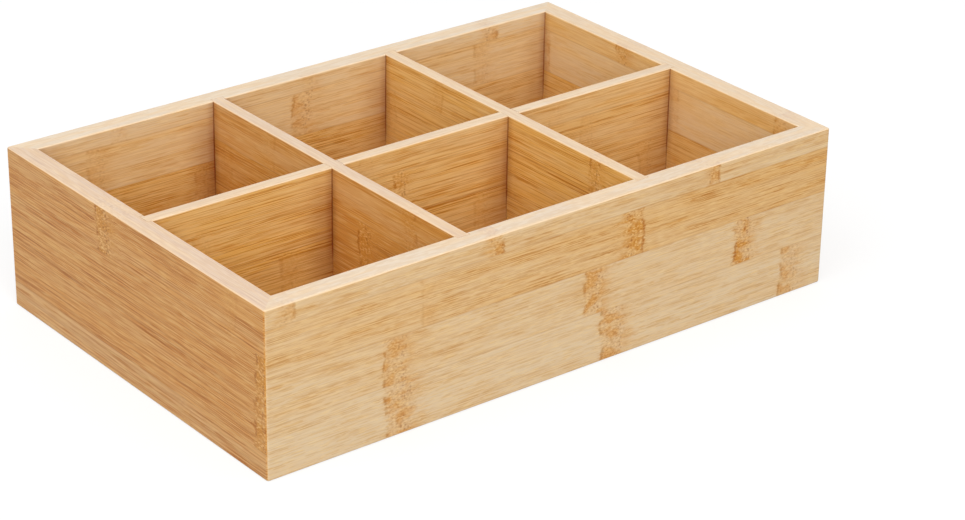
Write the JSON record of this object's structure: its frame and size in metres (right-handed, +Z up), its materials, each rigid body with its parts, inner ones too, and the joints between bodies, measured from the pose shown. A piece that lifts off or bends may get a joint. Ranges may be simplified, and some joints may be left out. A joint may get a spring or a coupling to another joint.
{
  "type": "tea bag compartment box",
  "caption": "Open-topped laminated bamboo box with mitred walls, halved dividers making equal compartments, and a floor panel let into the underside. Sorts tea bags.",
  "frame": {"origin": "centre of the underside, on the surface that the box stands on", "axes": "+X along the long side, +Y across the box towards the back wall, +Z up out of the open top"},
  "size_m": [0.254, 0.165, 0.0635],
  "materials": {
    "bamboo_wall": "satin",
    "bamboo_divider": "satin",
    "bamboo_floor": "satin"
  },
  "bodies": {
    "root": {"back_wall_strip_1": "bamboo_wall", "back_wall_strip_2": "bamboo_wall", "back_wall_strip_3": "bamboo_wall", "back_wall_strip_4": "bamboo_wall", "floor_panel": "bamboo_floor", "front_wall_strip_1": "bamboo_wall", "front_wall_strip_2": "bamboo_wall", "front_wall_strip_3": "bamboo_wall", "front_wall_strip_4": "bamboo_wall", "left_cross_divider_strip_1": "bamboo_divider", "left_cross_divider_strip_2": "bamboo_divider", "left_cross_divider_strip_3": "bamboo_divider", "left_cross_divider_strip_4": "bamboo_divider", "left_wall_strip_1": "bamboo_wall", "left_wall_strip_2": "bamboo_wall", "left_wall_strip_3": "bamboo_wall", "left_wall_strip_4": "bamboo_wall", "long_divider_strip_1": "bamboo_divider", "long_divider_strip_2": "bamboo_divider", "long_divider_strip_3": "bamboo_divider", "long_divider_strip_4": "bamboo_divider", "right_cross_divider_strip_1": "bamboo_divider", "right_cross_divider_strip_2": "bamboo_divider", "right_cross_divider_strip_3": "bamboo_divider", "right_cross_divider_strip_4": "bamboo_divider", "right_wall_strip_1": "bamboo_wall", "right_wall_strip_2": "bamboo_wall", "right_wall_strip_3": "bamboo_wall", "right_wall_strip_4": "bamboo_wall"}
  },
  "joints": []
}
